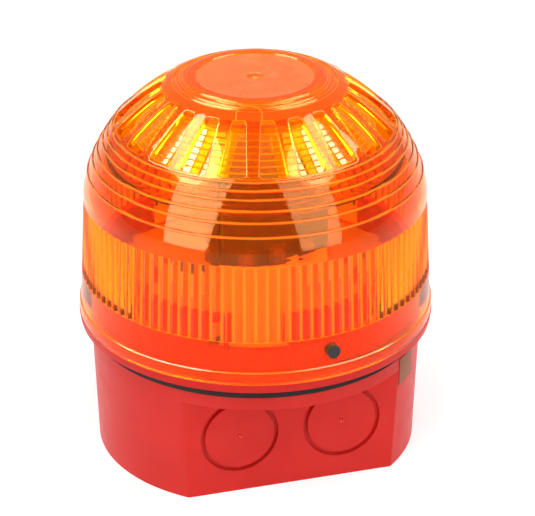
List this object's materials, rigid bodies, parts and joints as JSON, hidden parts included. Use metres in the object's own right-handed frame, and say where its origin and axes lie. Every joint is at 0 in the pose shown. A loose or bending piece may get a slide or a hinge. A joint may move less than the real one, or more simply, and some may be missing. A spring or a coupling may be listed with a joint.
{
  "type": "horn strobe",
  "caption": "Red deep-base horn strobe: twist-lock head with ribbed amber dome, fluted strobe band and a ring of sound windows, knockout cable entries on a flat side.",
  "frame": {"origin": "centre of the rear face that goes against the wall or ceiling, on the axis of the dome", "axes": "+Z out of the wall along the dome's axis; -Y is the flat side with the cable entries; +X to the right when that side is faced"},
  "size_m": [0.0932, 0.0932, 0.102],
  "materials": {
    "red_plastic": "satin moulded",
    "horn_plastic": "satin moulded",
    "amber_lens": "clear glossy",
    "amber_inner": "clear glossy",
    "black_rubber": "matte",
    "black_plastic": "matte",
    "label_film": "semi-gloss",
    "brass": "plain",
    "zinc_steel": "zinc plated",
    "spring_bronze": "plain",
    "board_green": "solder resist",
    "gold_pad": "gold plated",
    "led_white": "clear resin",
    "magnet_grey": "sintered",
    "copper_coil": "enamelled",
    "film_amber": "film",
    "can_alu": "plain",
    "white_plastic": "matte",
    "blue_plastic": "matte"
  },
  "bodies": {
    "base": {"rear_base": "red_plastic", "terminal_block": "black_plastic", "terminal_clamps": "brass", "terminal_screws": "zinc_steel", "contact_springs": "spring_bronze", "blank_label": "label_film"},
    "head": {"head_chassis": "red_plastic", "head_seal": "black_rubber", "lens": "amber_lens", "lens_seal": "black_rubber", "lens_lock_screw": "black_plastic", "horn_tube": "horn_plastic", "sound_deflector": "amber_inner", "driver_frame": "black_plastic", "driver_diaphragm": "film_amber", "voice_coil": "copper_coil", "driver_yoke": "zinc_steel", "driver_magnet": "magnet_grey", "deck_board": "board_green", "strobe_boards": "board_green", "leds": "led_white", "main_board": "board_green", "board_screws": "zinc_steel", "capacitors": "can_alu", "inductor": "magnet_grey", "controller_chip": "black_plastic", "driver_chip": "black_plastic", "contact_pads": "gold_pad", "board_link": "black_plastic", "dip_switch_body": "blue_plastic", "volume_trimmer_body": "blue_plastic"},
    "dip_slider_1": {"dip_slider_1": "white_plastic"},
    "dip_slider_2": {"dip_slider_2": "white_plastic"},
    "dip_slider_3": {"dip_slider_3": "white_plastic"},
    "dip_slider_4": {"dip_slider_4": "white_plastic"},
    "dip_slider_5": {"dip_slider_5": "white_plastic"},
    "volume_trimmer_rotor": {"volume_trimmer_rotor": "white_plastic"}
  },
  "joints": [
    {"name": "head_twist", "type": "hinge", "parent": "base", "child": "head", "pos_m": [0, 0, 0.034], "axis": [0, 0, 1], "range_deg": [0, 24]},
    {"name": "dip_slider_1_travel", "type": "slide", "parent": "head", "child": "dip_slider_1", "axis": [0, 1, 0], "range_m": [0, 0.0012]},
    {"name": "dip_slider_2_travel", "type": "slide", "parent": "head", "child": "dip_slider_2", "axis": [0, 1, 0], "range_m": [0, 0.0012]},
    {"name": "dip_slider_3_travel", "type": "slide", "parent": "head", "child": "dip_slider_3", "axis": [0, 1, 0], "range_m": [0, 0.0012]},
    {"name": "dip_slider_4_travel", "type": "slide", "parent": "head", "child": "dip_slider_4", "axis": [0, 1, 0], "range_m": [0, 0.0012]},
    {"name": "dip_slider_5_travel", "type": "slide", "parent": "head", "child": "dip_slider_5", "axis": [0, 1, 0], "range_m": [0, 0.0012]},
    {"name": "volume_trim_turn", "type": "hinge", "parent": "head", "child": "volume_trimmer_rotor", "pos_m": [0.0125, 0.009, 0.0245], "axis": [0, 0, 1], "range_deg": [-130, 130]}
  ]
}
